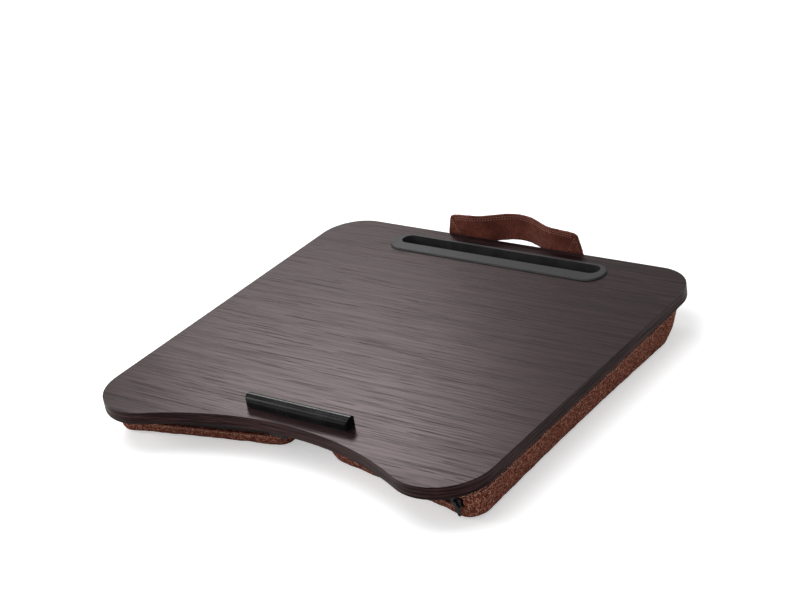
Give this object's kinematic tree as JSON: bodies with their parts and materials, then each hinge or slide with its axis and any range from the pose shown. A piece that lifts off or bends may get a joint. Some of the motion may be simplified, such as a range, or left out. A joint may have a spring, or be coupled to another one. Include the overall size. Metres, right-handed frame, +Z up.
{
  "type": "cushioned lap tray",
  "caption": "Wood-faced lap tray with a hollow front edge, tablet slot and stop bar, carried on two zipped fabric bolsters, with a carrying strap along the rear edge",
  "frame": {"origin": "on the table, under the middle of the bounding box", "axes": "+X to the user's right along the board's width, +Y from the hollow front edge to the strap at the rear, +Z up"},
  "size_m": [0.411, 0.4202, 0.068],
  "materials": {
    "wood": "satin wood-grain laminate",
    "wood_edge": "satin wood-grain edge band",
    "core": "raw fibreboard",
    "backing": "matt black foil",
    "slot_trim": "satin dark grey",
    "slot_pad": "matt foam rubber",
    "stop_bar": "satin black",
    "tape": "foam tape",
    "cover_fabric": "coarse woven, rust red with light flecks",
    "filling": "soft fibre filling",
    "zip_tape": "woven tape",
    "zip_teeth": "moulded teeth",
    "zip_metal": "black enamel",
    "strap_leather": "dark red-brown, topstitched"
  },
  "bodies": {
    "tray": {"wood_laminate": "wood", "edge_band": "wood_edge", "board_core": "core", "backing_sheet": "backing", "slot_insert": "slot_trim", "slot_pad": "slot_pad", "stop_bar": "stop_bar", "stop_bar_tape": "tape", "panel_left": "cover_fabric", "panel_right": "cover_fabric", "cover_left": "cover_fabric", "cover_right": "cover_fabric", "filling_left": "filling", "filling_right": "filling", "zip_left_tapes": "zip_tape", "zip_left_upper_teeth": "zip_teeth", "zip_left_lower_teeth": "zip_teeth", "zip_left_stops": "zip_teeth", "zip_right_tapes": "zip_tape", "zip_right_upper_teeth": "zip_teeth", "zip_right_lower_teeth": "zip_teeth", "zip_right_stops": "zip_teeth", "handle_ends": "strap_leather"},
    "slider_left": {"zip_left_slider": "zip_metal"},
    "pull_left": {"zip_left_pull": "zip_metal"},
    "slider_right": {"zip_right_slider": "zip_metal"},
    "pull_right": {"zip_right_pull": "zip_metal"},
    "strap": {"handle_strap": "strap_leather"}
  },
  "joints": [
    {"name": "zip_left_slide", "type": "slide", "parent": "tray", "child": "slider_left", "axis": [-0.9796, -0.2011, 0], "range_m": [0, 0.112], "deforming": ["zip_left_upper_teeth", "zip_left_lower_teeth"]},
    {"name": "zip_left_pull_swing", "type": "hinge", "parent": "slider_left", "child": "pull_left", "pos_m": [-0.03048, -0.15557, 0.019], "axis": [-0.2011, 0.9796, 0], "range_deg": [-18, 162]},
    {"name": "zip_right_slide", "type": "slide", "parent": "tray", "child": "slider_right", "axis": [-0.9796, 0.2011, 0], "range_m": [0, 0.112], "deforming": ["zip_right_upper_teeth", "zip_right_lower_teeth"]},
    {"name": "zip_right_pull_swing", "type": "hinge", "parent": "slider_right", "child": "pull_right", "pos_m": [0.18021, -0.1863, 0.019], "axis": [0.2011, 0.9796, 0], "range_deg": [-66, 114]},
    {"name": "strap_fold", "type": "hinge", "parent": "tray", "child": "strap", "pos_m": [0, 0.1949, 0.0332], "axis": [-1, 0, 0], "range_deg": [0, 120]}
  ]
}
